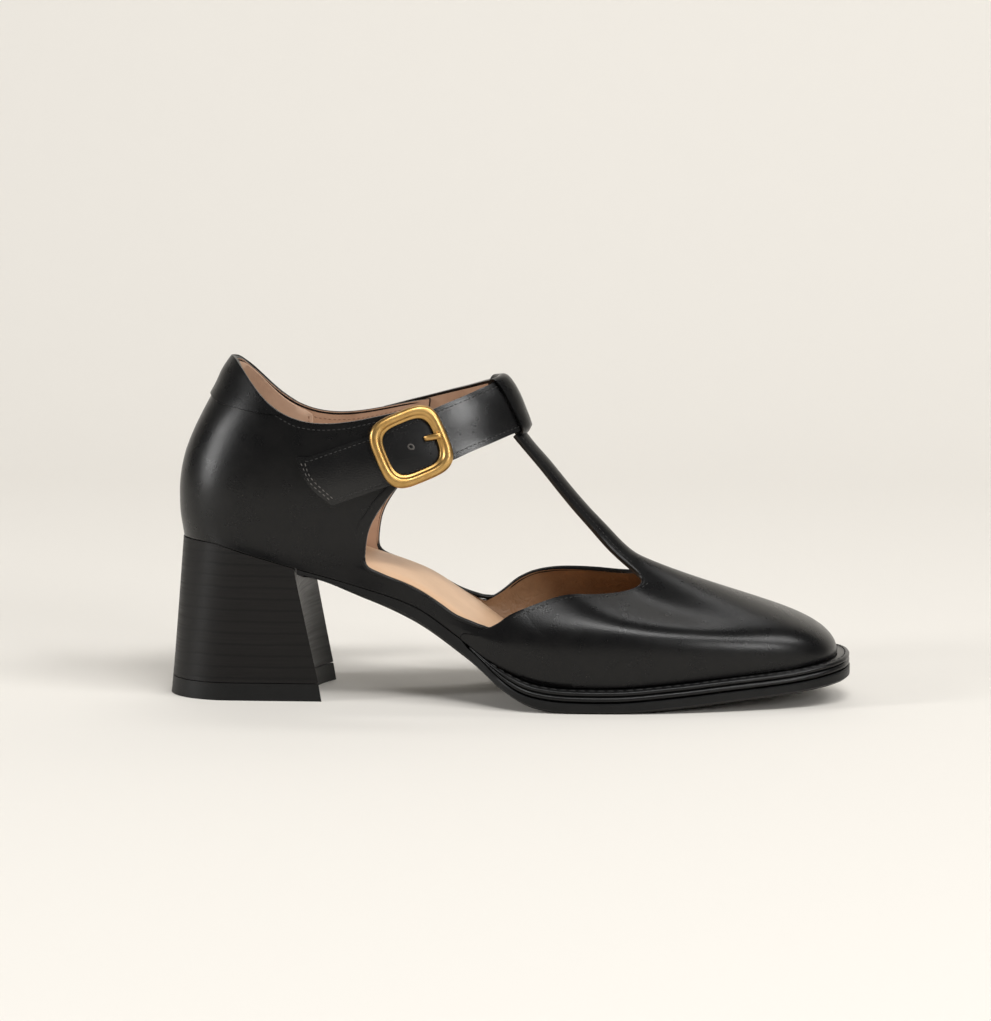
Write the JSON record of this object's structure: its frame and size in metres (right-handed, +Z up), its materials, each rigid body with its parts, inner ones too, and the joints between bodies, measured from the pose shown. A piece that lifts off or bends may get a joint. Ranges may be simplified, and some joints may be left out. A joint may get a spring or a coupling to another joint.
{
  "type": "t strap shoe",
  "caption": "Block-heeled T strap shoe with an ankle strap and buckle, open side cut-outs, squared almond toe and beaded welt; hollow upper, right foot.",
  "frame": {"origin": "middle of the shoe's plan box, on the floor", "axes": "+X to the toe, +Y to the inner (medial) side, +Z up"},
  "size_m": [0.2506, 0.0862, 0.1251],
  "materials": {
    "black_calf": "smooth calf with a soft sheen",
    "tan_lining": "matte tan lining leather",
    "black_welt": "matte waxed edge",
    "black_rubber": "matte",
    "stacked_heel": "black stained stacked heel, satin",
    "antique_brass": "antique gold, burnished"
  },
  "bodies": {
    "root": {"upper": "black_calf", "back_tab": "black_calf", "ankle_strap": "black_calf", "strap_loop": "black_calf", "insole": "tan_lining", "welt": "black_welt", "outsole": "black_rubber", "toplift": "black_rubber", "heel_block": "stacked_heel", "buckle_frame": "antique_brass", "buckle_prong": "antique_brass"}
  },
  "joints": []
}
